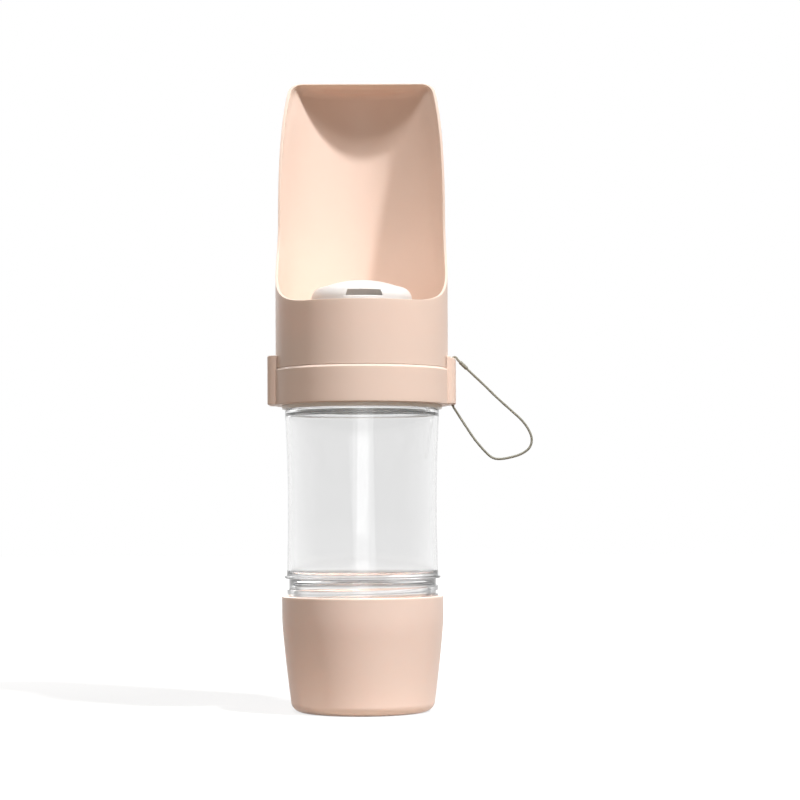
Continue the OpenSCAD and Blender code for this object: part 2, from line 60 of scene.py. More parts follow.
# ---------------------------------------------------------------- sizes, most as in the part's source
CUP_H, CUP_R, CUP_BASE_R, CUP_WALL, CUP_FLOOR, BAND_H = 47.0, 32.8, 29.3, 2.0, 2.0, 11.0
CUP_BASE_ROUND, CUP_BULGE = 4.5, 0.15
FLANGE_Z = 54.0
FLANGE_R, FLANGE_T = 31.75, 1.1
FOOT_R, WAIST_R, SHOULDER_R = 30.9, 30.2, 31.4
WAIST_H, BOTTLE_H, UPPER_NECK_H = 28.0, 81.0, 12.6
BOTTLE_WALL, NECK_WALL = 1.5, 2.0
LOWER_R, LOWER_H, UPPER_R = 29.9, 12.0, 29.0
PITCH = 3.4
LOWER_CREST, UPPER_CREST, CUP_CREST, CAP_CREST = 30.75, 29.85, 30.2, 29.35
CAP_R, CAP_Z, DECK_Z, DECK_TOP, BEARING_TOP = 32.5, 122.7, 136.2, 138.5, 147.1
RING_R, RING_Z, RING_TOP = 35.75, 124.2, 139.0
EAR_X, EAR_HALF, EAR_TOP, EAR_DROP, HOLE_X = 38.1, 8.6, 144.2, 1.6, 36.7
TROUGH_R, TROUGH_WALL, SKIRT_Z, SKIRT_IN = 35.0, 1.8, 139.08, 32.8
FLOOR_Z, BASIN_Z, TOP_Z = 149.1, 151.1, 258.7
TOP_ROUND, BASIN_ROUND, LIP_AT = 3.6, 3.0, 13.5
SWEEP_R, EDGE_BACK, LEAN_R = 36.0, 7.0, 155.0
DOME_R, DOME_H, CROWN_H, DOME_ROUND, DOME_WALL = 20.5, 24.0, 3.0, 4.8, 1.5
SLOT_W, SLOT_H, SLOT_AT = 15.3, 2.3, 17.6
CORD_D = 1.0


# ---------------------------------------------------------------- camera
def make_camera():
    """The photograph's view: a long lens a little under a metre away, held level at the height
    of the bottle's lower half, with the frame shifted up to take in the trough."""
    frame_px, sensor = 800, 36.0
    focal_px, horizon_px, axis_px = 2200.0, 510.0, 362.4
    distance, eye_z = 0.895, 0.0817
    data = bpy.data.cameras.new("photo_camera")
    data.lens = focal_px / frame_px * sensor
    data.sensor_width = sensor
    data.clip_start = 0.05
    obj = add_object("photo_camera", data)
    data.shift_y = (horizon_px - frame_px / 2) / frame_px
    roll = math.radians(-0.22)
    side = (frame_px / 2 - axis_px) / focal_px * distance
    obj.location = (side, -distance, eye_z)
    facing = Matrix.Rotation(math.pi / 2, 3, "X") @ Matrix.Rotation(roll, 3, "Z")
    obj.rotation_euler = facing.to_euler()
    bpy.context.scene.camera = obj


make_camera()


# ---------------------------------------------------------------- mesh helpers
def new_object(name, verts, faces, merge=True):
    """A smooth-shaded mesh object. Vertices come in millimetres."""
    mesh = bpy.data.meshes.new(name)
    mesh.from_pydata((np.asarray(verts, dtype=float) * 0.001).tolist(), [], faces)
    bm = bmesh.new()
    bm.from_mesh(mesh)
    if merge:
        bmesh.ops.remove_doubles(bm, verts=bm.verts, dist=2e-6)
        bmesh.ops.dissolve_degenerate(bm, edges=bm.edges, dist=1e-7)
    bmesh.ops.recalc_face_normals(bm, faces=bm.faces)
    bm.to_mesh(mesh)
    bm.free()
    obj = add_object(name, mesh)
    smooth(obj)
    return obj


def grid_faces(rows, columns, closed):
    """Faces between rows of columns + 1 points each. Closed joins the last row to the first."""
    count, faces = columns + 1, []
    for a in range(rows if closed else rows - 1):
        b = (a + 1) % rows
        for j in range(columns):
            faces.append((a * count + j, a * count + j + 1, b * count + j + 1, b * count + j))
    return faces


def stack(name, layers):
    """A closed block from outlines with the same number of points, one after the other."""
    n, faces = len(layers[0]), []
    for i in range(len(layers) - 1):
        for j in range(n):
            k = (j + 1) % n
            faces.append((i * n + j, i * n + k, (i + 1) * n + k, (i + 1) * n + j))
    faces.append(tuple(range(n - 1, -1, -1)))
    faces.append(tuple(range((len(layers) - 1) * n, len(layers) * n)))
    return new_object(name, [point for layer in layers for point in layer], faces, merge=False)


def smooth(obj, angle=38):
    mesh = obj.data
    mesh.polygons.foreach_set("use_smooth", [True] * len(mesh.polygons))
    mesh.set_sharp_from_angle(angle=math.radians(angle))
    mesh.update()


def even_normals(obj):
    mod = obj.modifiers.new("even_normals", "WEIGHTED_NORMAL")
    mod.keep_sharp = True
    mod.weight = 60


def arc(cr, cz, radius, a, b, steps=6):
    angles = [math.radians(a + (b - a) * i / steps) for i in range(steps + 1)]
    return [(cr + radius * math.cos(t), cz + radius * math.sin(t)) for t in angles]


def soften(points, steps=3):
    """Rounds the corners of a profile. A point is (r, z) or (r, z, rounding)."""
    out = []
    last = len(points) - 1
    for i, point in enumerate(points):
        radius = point[2] if len(point) > 2 else 0
        here = np.array(point[:2], dtype=float)
        if radius <= 0 or i in (0, last):
            out.append(tuple(here))
            continue
        before = np.array(points[i - 1][:2], dtype=float) - here
        after = np.array(points[i + 1][:2], dtype=float) - here
        u, v = before / np.linalg.norm(before), after / np.linalg.norm(after)
        half = math.acos(float(np.clip(np.dot(u, v), -1, 1))) / 2
        reach = min(radius / math.tan(half), 0.48 * np.linalg.norm(before), 0.48 * np.linalg.norm(after))
        start, end = here + u * reach, here + v * reach
        for k in range(steps + 1):
            t = k / steps
            out.append(tuple((1 - t) ** 2 * start + 2 * t * (1 - t) * here + t * t * end))
    return out


class Lathe:
    """Rings of points about Z. Every ring has the same columns, the first at the front."""

    def __init__(self, columns):
        self.columns = columns
        self.turn = np.linspace(0, 1, columns + 1)
        self.theta = self.turn * TAU - math.pi / 2
        self.rings = []

    def ring(self, r, z):
        r = np.broadcast_to(np.asarray(r, dtype=float), self.theta.shape)
        z = np.broadcast_to(np.asarray(z, dtype=float), self.theta.shape)
        self.rings.append(np.stack([r * np.cos(self.theta), r * np.sin(self.theta), z], axis=1))

    def profile(self, points, steps=3):
        for r, z in soften(points, steps):
            self.ring(r, z)

    def thread(self, root, crest, z_low, z_high, front_z, first, last, half_root, half_crest,
               upward=True):
        """A helical ridge between two heights: it passes the front at front_z, runs from turn
        first to turn last, counted from there, and fades out at both ends. The half widths are
        those of its root and its crest."""
        soft, run_out = 0.1, 0.07
        flank = [(half_crest - soft, 1), (half_crest + soft, 0.88),
                 (half_root - soft, 0.16), (half_root + soft, 0)]
        section = [(-offset, share) for offset, share in reversed(flank)] + flank
        k_low = math.floor((z_low - front_z) / PITCH) - 2
        k_high = math.ceil((z_high - front_z) / PITCH) + 1
        rows = []
        for k in range(k_low, k_high + 1):
            along = k + self.turn
            grown = np.clip((along - first) / run_out, 0, 1) * np.clip((last - along) / run_out, 0, 1)
            grown = grown * grown * (3 - 2 * grown)
            for offset, share in section:
                height = np.clip(front_z + PITCH * along + offset, z_low, z_high)
                rows.append((root + (crest - root) * share * grown, height))
        if not upward:
            rows.reverse()
        for r, z in rows:
            self.ring(r, z)

    def build(self, name, closed=False):
        faces = grid_faces(len(self.rings), self.columns, closed)
        obj = new_object(name, np.concatenate(self.rings), faces)
        even_normals(obj)
        return obj


def cylinder(radius, z0, z1, at, columns):
    """A closed helper cylinder for boolean cuts, in millimetres."""
    turns = [TAU * i / columns for i in range(columns)]
    return stack("cutter", [[(at[0] + radius * math.cos(a), at[1] + radius * math.sin(a), z) for a in turns]
                            for z in (z0, z1)])


def join_meshes(name, objects):
    bm = bmesh.new()
    for obj in objects:
        bm.from_mesh(obj.data)
        bpy.data.objects.remove(obj)
    mesh = bpy.data.meshes.new(name)
    bm.to_mesh(mesh)
    bm.free()
    return add_object(name, mesh)


def combine(obj, tool, how):
    """Applies an exact boolean and removes the tool."""
    obj.modifiers.clear()
    mod = obj.modifiers.new("cut", "BOOLEAN")
    mod.operation = how
    mod.solver = "EXACT"
    mod.object = tool
    depsgraph = bpy.context.evaluated_depsgraph_get()
    mesh = bpy.data.meshes.new_from_object(obj.evaluated_get(depsgraph))
    obj.modifiers.clear()
    obj.data = mesh
    bpy.data.objects.remove(tool)
    smooth(obj)


# ---------------------------------------------------------------- materials
class Graph:
    """A node tree that is being built. An input is given a value or another node's output."""

    def __init__(self, owner):
        owner.use_nodes = True
        self.tree = owner.node_tree
        self.tree.nodes.clear()

    def add(self, kind, inputs=None, **settings):
        node = self.tree.nodes.new(kind)
        for name, value in settings.items():
            setattr(node, name, value)
        for key, value in (inputs or {}).items():
            if isinstance(value, bpy.types.NodeSocket):
                self.tree.links.new(value, node.inputs[key])
            else:
                node.inputs[key].default_value = value
        return node

    def calc(self, operation, *values):
        return self.add("ShaderNodeMath", dict(enumerate(values)), operation=operation).outputs[0]

    def mix(self, factor, a, b, data_type="RGBA"):
        inputs = {"Factor": factor, "A": a, "B": b}
        return self.add("ShaderNodeMix", inputs, data_type=data_type).outputs["Result"]

    def map_range(self, value, low, high, at_low, at_high, kind="LINEAR"):
        ends = {"Value": value, "From Min": low, "From Max": high, "To Min": at_low, "To Max": at_high}
        return self.add("ShaderNodeMapRange", ends, interpolation_type=kind).outputs["Result"]

    def ramp(self, value, low, high, start=0.0, end=1.0):
        node = self.add("ShaderNodeValToRGB", {"Fac": value})
        for element, position, color in zip(node.color_ramp.elements, (start, end), (low, high)):
            element.position = position
            element.color = (*color, 1)
        return node.outputs["Color"]

    def noise(self, place, scale, detail=2.0):
        inputs = {"Vector": place, "Scale": scale, "Detail": detail}
        return self.add("ShaderNodeTexNoise", inputs).outputs["Fac"]

    def bump(self, height, strength, distance, under=None):
        inputs = {"Height": height, "Strength": strength, "Distance": distance}
        if under:
            inputs["Normal"] = under
        return self.add("ShaderNodeBump", inputs).outputs["Normal"]

    def place(self):
        return self.add("ShaderNodeTexCoord").outputs["Object"]

    def output(self, shader, kind="ShaderNodeOutputMaterial"):
        self.add(kind, {"Surface": shader.outputs[0]})


def material(name, color, roughness=0.4, metallic=0.0, subsurface=0.0, radius=(0.002, 0.001, 0.0006),
             transmission=0.0, ior=1.5, specular=0.5, tone=0.03, tone_size=30.0, grain=0.04,
             grain_size=2500.0, grain_depth=0.00003, wave=0.0, wave_size=60.0, rough_spread=0.05,
             brushed=None, painted_edge_light=None):
    """A procedural surface: a base colour that drifts a little over the piece, a fine moulded
    or turned grain, a slow waviness, and a roughness that varies with them. Painted edge light
    tints what is seen at a slant, one colour below two heights and another above them: painted
    shade where that colour is dark, a painted reflection where it is pale."""
    mat = bpy.data.materials.new(name)
    graph = Graph(mat)
    place = graph.place()
    drift = graph.noise(place, tone_size, 3.0)
    darker = [max(c * (1 - tone), 0) for c in color]
    lighter = [min(c * (1 + tone), 1) for c in color]
    tinted = graph.ramp(drift, darker, lighter, 0.3, 0.7)
    # painted light in the base colour at a slant: painted shade where its colour is dark, a painted
    # reflection where it is pale
    if painted_edge_light:
        below, above, heights = painted_edge_light
        up = graph.add("ShaderNodeSeparateXYZ", {"Vector": place}).outputs["Z"]
        high = graph.map_range(up, *heights, 0.0, 1.0, "SMOOTHSTEP")
        slant = graph.add("ShaderNodeLayerWeight", {"Blend": 0.5}).outputs["Facing"]
        # the slants at which the painted edge light starts and is full
        share_below = graph.map_range(slant, 0.4, 0.8, 0.0, 1.0, "SMOOTHSTEP")
        share_above = graph.map_range(slant, 0.12, 0.75, 0.0, 1.0, "SMOOTHSTEP")
        share = graph.mix(high, share_below, share_above, "FLOAT")
        tinted = graph.mix(share, tinted, graph.mix(high, (*below, 1), (*above, 1)))
    grain_place = place
    if brushed:
        grain_place = graph.add("ShaderNodeMapping", {"Vector": place, "Scale": brushed}).outputs["Vector"]
    normal = graph.bump(graph.noise(grain_place, grain_size), grain, grain_depth)
    if wave:
        normal = graph.bump(graph.noise(place, wave_size, 0.0), wave, 0.001, normal)
    smoothest, roughest = max(roughness - rough_spread, 0.0), min(roughness + rough_spread, 1.0)
    graph.output(graph.add("ShaderNodeBsdfPrincipled", {
        "Base Color": tinted, "Roughness": graph.map_range(drift, 0.25, 0.75, smoothest, roughest),
        "Normal": normal, "Metallic": metallic, "IOR": ior, "Specular IOR Level": specular,
        "Subsurface Weight": subsurface, "Subsurface Radius": radius, "Subsurface Scale": 1.0,
        "Transmission Weight": transmission,
    }))
    return mat


def dress(obj, mat):
    obj.data.materials.clear()
    obj.data.materials.append(mat)


def srgb(r, g, b):
    return tuple(((c / 255) / 12.92) if c <= 10 else ((c / 255 + 0.055) / 1.055) ** 2.4 for c in (r, g, b))


satin = dict(roughness=0.4, radius=(0.002, 0.0018, 0.0017), specular=0.22, tone=0.012, tone_size=18,
             grain=0.25, grain_size=2600, grain_depth=0.00001, rough_spread=0.03)
glossy = dict(roughness=0.34, tone=0.012, tone_size=25, grain=0.2, grain_size=3000, grain_depth=0.000008,
              rough_spread=0.03)
turned = dict(metallic=1.0, tone=0.05, tone_size=200, grain=0.4, grain_size=1200, grain_depth=0.00001,
              brushed=(1, 1, 8))
pink = material("pink_satin_plastic", srgb(242, 219, 205), subsurface=0.22, **satin)
# a lighter copy of the pink for the food cup: painted light, making up for the lamp light that reaches it
# less than the trough
painted_lighter_pink = material("pale_pink_satin_plastic", srgb(247, 225, 213), subsurface=0.2, **satin)
white = material("white_plastic", srgb(250, 248, 242), subsurface=0.6,
                 radius=(0.0036, 0.0033, 0.003), **glossy)
milky = material("translucent_white_plastic", srgb(250, 248, 242), subsurface=0.75,
                 radius=(0.0055, 0.0053, 0.005), **glossy)
# clear plastic with painted edge light: painted dark shade at a slant on the flange and lower neck, and a
# painted pale reflection at a slant above them
clear = material("clear_plastic", (0.87, 0.87, 0.87), roughness=0.04, transmission=1.0, ior=1.49,
                 painted_edge_light=((0.08, 0.08, 0.08), (0.99, 0.99, 0.99), (0.0570, 0.0577)), tone=0.006,
                 tone_size=12, grain=0.06, grain_size=900, grain_depth=0.000004, wave=0.008, wave_size=45,
                 rough_spread=0.01)
slide = material("slide_plastic", srgb(236, 234, 226), roughness=0.5, subsurface=0.1, tone=0.02,
                 grain=0.2, grain_size=2000, grain_depth=0.00001)
silicone = material("silicone", srgb(214, 217, 216), roughness=0.55, subsurface=0.25, tone=0.02,
                    grain=0.3, grain_size=1800, grain_depth=0.00002)
steel = material("turned_steel", (0.62, 0.62, 0.61), roughness=0.26, **turned)
brass = material("turned_brass", (0.72, 0.50, 0.22), roughness=0.3, **turned)


def cord_material(name, dark, light, along, around):
    """Braided cord: two crossing sets of strands, laid out by the tube's own UVs."""
    mat = bpy.data.materials.new(name)
    graph = Graph(mat)
    lengthwise = graph.add("ShaderNodeUVMap", uv_map="length").outputs["UV"]
    split = graph.add("ShaderNodeSeparateXYZ", {"Vector": lengthwise})
    u = graph.calc("MULTIPLY", split.outputs["X"], along)
    v = graph.calc("MULTIPLY", split.outputs["Y"], around)
    one = graph.calc("SINE", graph.calc("ADD", u, v))
    two = graph.calc("SINE", graph.calc("SUBTRACT", u, v))
    weave = graph.calc("MAXIMUM", one, two)
    fluff = graph.noise(graph.place(), 900)
    # painted shade: the weave darkens the colour in the grooves between the strands, and the noise adds a
    # random tone
    shade = graph.calc("ADD", graph.calc("MULTIPLY", weave, 0.3), graph.calc("MULTIPLY", fluff, 0.6))
    graph.output(graph.add("ShaderNodeBsdfPrincipled", {
        "Base Color": graph.ramp(shade, dark, light), "Normal": graph.bump(weave, 0.5, 0.00008),
        "Roughness": graph.map_range(fluff, 0.0, 1.0, 0.65, 0.85), "Sheen Weight": 0.25,
    }))
    return mat


cord_skin = cord_material("braided_cord", srgb(132, 131, 117), srgb(170, 169, 156), 9000.0, 4 * TAU)
sleeve_skin = material("shrunk_sleeve", srgb(140, 138, 124), roughness=0.5, tone=0.06, tone_size=400,
                       grain=0.5, grain_size=1500, grain_depth=0.00004)


# ---------------------------------------------------------------- lanyard
# the cord's loop in the plane y = 0: over the ear from its hole, and back under it
OVER = [(0, -9.2), (0, -4.7), (0, -2.2), (0.3, -0.7), (1.5, -0.5), (2.8, -2), (7.3, -6.4),
        (12.8, -11.6), (18.3, -17), (23.8, -22)]
UNDER = [(28.1, -6), (30.9, -9.8), (32.3, -13.8), (31.3, -17.4), (27.9, -19.9), (22.9, -21.4),
         (18.7, -21.9), (15.9, -21.1), (12.9, -18.4), (8.9, -13.6), (4.9, -7.6), (1.9, -2.9),
         (0.2, 0), (0, 2.8), (0, 10.4)]
ROUTE = [(HOLE_X + x, EAR_TOP + z) for x, z in OVER] + [(HOLE_X + x, RING_Z + z) for x, z in UNDER]


def smooth_route(points, steps):
    """A smooth curve through all the points, with as many steps from each to the next."""
    p = [np.array(q, dtype=float) for q in points]
    out = []
    for i in range(len(p) - 1):
        a, b, c, d = p[max(i - 1, 0)], p[i], p[i + 1], p[min(i + 2, len(p) - 1)]
        square, cube = 2 * a - 5 * b + 4 * c - d, 3 * b - a - 3 * c + d
        for s in range(steps):
            t = s / steps
            out.append(0.5 * (2 * b + (c - a) * t + square * t * t + cube * t ** 3))
    out.append(p[-1])
    return out


def make_lanyard():
    """A braided tube along the loop, with the strands raised in its surface."""
    path = smooth_route(ROUTE, 12)
    sides, radius = 16, CORD_D / 2
    strands, twist, relief = 4, 9, 0.04   # strands each way, turn in radians per mm, share of radius
    layers, walked = [], [0.0]
    for i, point in enumerate(path):
        if i:
            walked.append(walked[-1] + float(np.linalg.norm(point - path[i - 1])))
        ahead, behind = path[min(i + 1, len(path) - 1)], path[max(i - 1, 0)]
        tangent = (ahead - behind) / np.linalg.norm(ahead - behind)
        side = np.array([-tangent[1], tangent[0]])
        along = walked[-1] * twist
        layer = []
        for k in range(sides):
            a = TAU * k / sides
            crest = max(math.sin(along + strands * a), math.sin(along - strands * a))
            r = radius * (1 - relief * (1 - crest))
            x, z = point + r * math.cos(a) * side
            layer.append((x, r * math.sin(a), z))
        layers.append(layer)
    obj = stack("lanyard_cord", layers)
    mesh = obj.data
    uv = mesh.uv_layers.new(name="length")
    for poly in mesh.polygons:
        wraps = len(poly.vertices) == 4 and {0, sides - 1} <= {v % sides for v in poly.vertices}
        for loop in poly.loop_indices:
            row, column = divmod(mesh.loops[loop].vertex_index, sides)
            uv.data[loop].uv = (mm(walked[row]), 1.0 if wraps and column == 0 else column / sides)
    smooth(obj, 60)
    return obj, mm(walked[-1]), [mm(p[0], 0, p[1]) for p in path]


lanyard, lanyard_length, lanyard_path = make_lanyard()
dress(lanyard, cord_skin)


def make_sleeve():
    """The sleeve on the lanyard, pinched twice, square to the cord."""
    start, slope = mm(HOLE_X + 3.2, 0, EAR_TOP - 2.4), math.radians(134)
    lathe = Lathe(32)
    lathe.profile([
        (0.52, 0), (0.68, 0, 0.1), (0.78, 0.35, 0.2), (0.78, 1.05, 0.2), (0.68, 1.3, 0.1),
        (0.78, 1.55, 0.2), (0.78, 2.45, 0.2), (0.68, 2.7, 0.1), (0.78, 2.95, 0.2), (0.78, 3.65, 0.2),
        (0.66, 4.0, 0.1), (0.52, 4.0),
    ])
    obj = lathe.build("lanyard_sleeve", closed=True)
    obj.data.transform(Matrix.Translation(start) @ Matrix.Rotation(slope, 4, "Y"))
    return obj


sleeve = make_sleeve()
dress(sleeve, sleeve_skin)
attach(lanyard, "cap")
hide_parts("lanyard")
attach(sleeve, "cap")
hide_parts("lanyard_crimp")


# ---------------------------------------------------------------- food cup
FRONT_LOWER = FLANGE_Z - 4.6   # where the ridge of the bottle's lower thread passes the front
FRONT_UPPER = 125.6            # and that of its upper thread
NECK_RIDGE = dict(half_root=1.0, half_crest=0.78)     # half widths of the threads on the bottle
SOCKET_RIDGE = dict(half_root=0.62, half_crest=0.38)  # and of those in the cup and the cap


def cup_side(z):
    """Outer radius of the cup's bulging side, from its rounded foot up to the band."""
    t = (z - CUP_BASE_ROUND) / (CUP_H - BAND_H - CUP_BASE_ROUND)
    return CUP_BASE_R + (CUP_R - CUP_BASE_R) * t + 4 * CUP_BULGE * t * (1 - t)


def make_cup():
    lathe = Lathe(192)
    band_z, foot = CUP_H - BAND_H, CUP_BASE_R - CUP_BASE_ROUND
    bend_z, wall_z = band_z - 13, band_z - 4
    mouth, inner, rim, chamfer, thread_z = 31.0, LOWER_R + 0.3, 0.55, 0.5, 38.3
    # the underside, with a small recess at its middle and a foot, then the side up to the band
    lathe.profile([(0.001, 0.55), (1.6, 0.55, 0.2), (1.9, 0.35, 0.2), (foot - 3.4, 0.35, 0.5),
                   (foot - 2.6, 0, 0.5)])
    for r, z in arc(foot, CUP_BASE_ROUND, CUP_BASE_ROUND, -90, 0, 12):
        lathe.ring(r, z)
    for i in range(1, 8):
        z = CUP_BASE_ROUND + (bend_z - CUP_BASE_ROUND) * i / 8
        lathe.ring(cup_side(z), z)
    lathe.profile([(cup_side(bend_z), bend_z), (CUP_R, band_z, 120), (CUP_R, CUP_H - rim - 0.1)], steps=8)
    # the rim, the thread inside it, and the inner face down to the floor
    for r, z in arc(CUP_R - rim, CUP_H - rim, rim, 0, 90, 5):
        lathe.ring(r, z)
    lathe.profile([(CUP_R - rim - 0.01, CUP_H), (mouth + 0.35, CUP_H, 0.2), (mouth, CUP_H - 0.35, 0.1),
                   (mouth, CUP_H - chamfer)])
    lathe.thread(mouth, CUP_CREST, thread_z, CUP_H - chamfer, FRONT_LOWER + PITCH / 2, -3.4, -1.72,
                 **SOCKET_RIDGE, upward=False)
    lathe.profile([(mouth, thread_z), (inner, thread_z - 0.5, 0.2), (inner, band_z - 2, 0.6),
                   (cup_side(wall_z) - CUP_WALL, wall_z, 1)])
    for i in range(1, 10):
        z = wall_z - (wall_z - CUP_BASE_ROUND) * i / 9
        lathe.ring(min(inner, cup_side(z) - CUP_WALL), z)
    for r, z in arc(foot, CUP_BASE_ROUND, CUP_BASE_ROUND - CUP_WALL, 0, -90, 8)[1:]:
        lathe.ring(r, z)
    lathe.ring(12, CUP_FLOOR)
    lathe.ring(0.001, CUP_FLOOR)
    return lathe.build("cup_moulding")


cup = make_cup()
# the cup wears the lighter copy of the pink, which is painted light
dress(cup, painted_lighter_pink)
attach(cup, "cup")
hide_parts("food_cup")


# ---------------------------------------------------------------- bottle
def bottle_side(h):
    """Outer radius of the bottle at a height over its flange: widest at foot and shoulder."""
    top_h = BOTTLE_H - UPPER_NECK_H
    if h < WAIST_H:
        return WAIST_R + (FOOT_R - WAIST_R) * ((WAIST_H - h) / WAIST_H) ** 2
    return WAIST_R + (SHOULDER_R - WAIST_R) * ((h - WAIST_H) / (top_h - WAIST_H)) ** 2


def make_bottle():
    lathe = Lathe(192)
    z0, wall_top = FLANGE_Z, BOTTLE_H - UPPER_NECK_H
    inner_low, inner_up = LOWER_R - NECK_WALL, UPPER_R - NECK_WALL
    # the hollow below the floor, and the lower neck with its seal's groove and its thread
    lathe.profile([(0.001, z0 - 0.1), (8, z0 - 0.1)])
    for r, z in arc(inner_low - 3, z0 - 3.1, 3, 90, 0, 8):
        lathe.ring(r, z)
    seal_low, seal_high, groove_r = z0 - LOWER_H + 1.2, z0 - LOWER_H + 2.8, LOWER_R - 0.9
    lower_start, lower_end = seal_high + 0.15, z0 - 0.45
    lathe.profile([
        (inner_low, z0 - 6), (inner_low, z0 - LOWER_H, 0.4), (LOWER_R, z0 - LOWER_H, 0.4),
        (LOWER_R, seal_low, 0.08), (groove_r, seal_low, 0.15), (groove_r, seal_high, 0.15),
        (LOWER_R, seal_high, 0.08), (LOWER_R, lower_start),
    ])
    lathe.thread(LOWER_R, LOWER_CREST, lower_start, lower_end, FRONT_LOWER, -1.12, 0.74, **NECK_RIDGE)
    # the flange, the waisted wall, and the upper neck with its thread
    fillet_h, foot_h, shoulder_h = 3.2, 4.4, wall_top - 1.4
    upper_start, upper_end = z0 + wall_top + 0.8, z0 + BOTTLE_H - 1.0
    lathe.profile([(LOWER_R, lower_end), (LOWER_R, z0 + 0.1, 0.35), (FLANGE_R, z0 + 0.2, 0.35),
                   (FLANGE_R, z0 + FLANGE_T, 0.35), (bottle_side(FLANGE_T), z0 + FLANGE_T, 0.2),
                   (bottle_side(fillet_h), z0 + fillet_h), (bottle_side(foot_h), z0 + foot_h)])
    for i in range(1, 36):
        h = foot_h + (shoulder_h - foot_h) * i / 36
        lathe.ring(bottle_side(h), z0 + h)
    lathe.profile([(bottle_side(shoulder_h), z0 + shoulder_h), (SHOULDER_R, z0 + wall_top, 0.6),
                   (UPPER_R, z0 + wall_top, 0.4), (UPPER_R, upper_start)])
    lathe.thread(UPPER_R, UPPER_CREST, upper_start, upper_end, FRONT_UPPER, -0.1, 1.9, **NECK_RIDGE)
    # over the mouth, and the inner face down to the floor
    under_shoulder, wall_h = z0 + wall_top - 1.5, wall_top - 8
    lathe.profile([
        (UPPER_R, upper_end), (UPPER_R, z0 + BOTTLE_H, 0.4), (inner_up, z0 + BOTTLE_H, 0.4),
        (inner_up, under_shoulder, 0.4), (bottle_side(wall_top - 2) - BOTTLE_WALL, under_shoulder, 1.2),
        (bottle_side(wall_h) - BOTTLE_WALL, z0 + wall_h),
    ], steps=6)
    floor_z, in_r, round_r = FLANGE_T + 0.8, FOOT_R - BOTTLE_WALL, 2.0
    low_h = floor_z + round_r + 1
    for i in range(1, 32):
        h = wall_h - (wall_h - low_h) * i / 32
        lathe.ring(bottle_side(h) - BOTTLE_WALL, z0 + h)
    for r, z in arc(in_r - round_r, z0 + floor_z + round_r, round_r, 0, -90, 14):
        lathe.ring(min(r, bottle_side(z - z0) - BOTTLE_WALL), z)
    lathe.ring(10, z0 + floor_z)
    lathe.ring(0.001, z0 + floor_z)
    return lathe.build("bottle_moulding")


bottle = make_bottle()
dress(bottle, clear)
bottle.visible_shadow = False   # clear plastic: lamp light goes straight through it
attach(bottle, "bottle")
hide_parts("bottle_body")


# ---------------------------------------------------------------- neck cap
def make_cap():
    """The white cap: a deck with a pocket for the screw's insert and a seat for the gasket, the
    bearing wall above it with the guide ring's groove, and the threaded skirt below."""
    lathe = Lathe(160)
    pocket_r, pocket_z, seat_r, seat_z = 2.35, 131.4, 19.3, DECK_TOP - 1
    bearing_r, groove_r, groove_z, groove_top = CAP_R - 2.2, CAP_R - 0.9, 143.5, 143.5 + 1.6
    skirt_r, boss_r, boss_z = 30.15, 4.5, 130.2
    lathe.profile([
        (0.001, pocket_z), (pocket_r, pocket_z), (pocket_r, seat_z, 0.2), (seat_r, seat_z, 0.1),
        (seat_r, DECK_TOP, 0.15), (bearing_r, DECK_TOP, 0.8), (bearing_r, BEARING_TOP, 0.4),
        (CAP_R, BEARING_TOP, 0.4), (CAP_R, groove_top, 0.1), (groove_r, groove_top, 0.1),
        (groove_r, groove_z, 0.1), (CAP_R, groove_z, 0.1), (CAP_R, RING_Z + 0.3), (CAP_R, CAP_Z, 0.45),
        (30.5, CAP_Z, 0.3), (skirt_r, CAP_Z + 0.4, 0.1), (skirt_r, CAP_Z + 0.6),
    ])
    lathe.thread(skirt_r, CAP_CREST, CAP_Z + 0.6, DECK_Z - 0.6, FRONT_UPPER + PITCH / 2, -0.55, 2.15,
                 **SOCKET_RIDGE)
    lathe.profile([(skirt_r, DECK_Z - 0.6), (29.6, DECK_Z, 0.2), (boss_r, DECK_Z, 0.6),
                   (boss_r, boss_z, 0.4), (0.001, boss_z)])
    obj = lathe.build("cap_moulding")
    # two water ports, and the vent's stem hole with four air holes round it
    low, high = DECK_Z - 2, DECK_TOP + 1
    port_r, port_at, vent, stem_r, air_r, air_at = 3.3, 9.8, 23 * math.sin(math.pi / 4), 1.0, 0.4, 1.875
    cuts = [cylinder(port_r, low, high, (0, s * port_at), 48) for s in (-1, 1)]
    cuts.append(cylinder(stem_r, low, high, (-vent, vent), 24))
    for i in range(4):
        a = math.radians(45 + 90 * i)
        at = (-vent + air_at * math.cos(a), vent + air_at * math.sin(a))
        cuts.append(cylinder(air_r, low, high, at, 16))
    combine(obj, join_meshes("cap_cuts", cuts), "DIFFERENCE")
    even_normals(obj)
    return obj


cap = make_cap()
dress(cap, white)
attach(cap, "cap")
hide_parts("neck_cap")


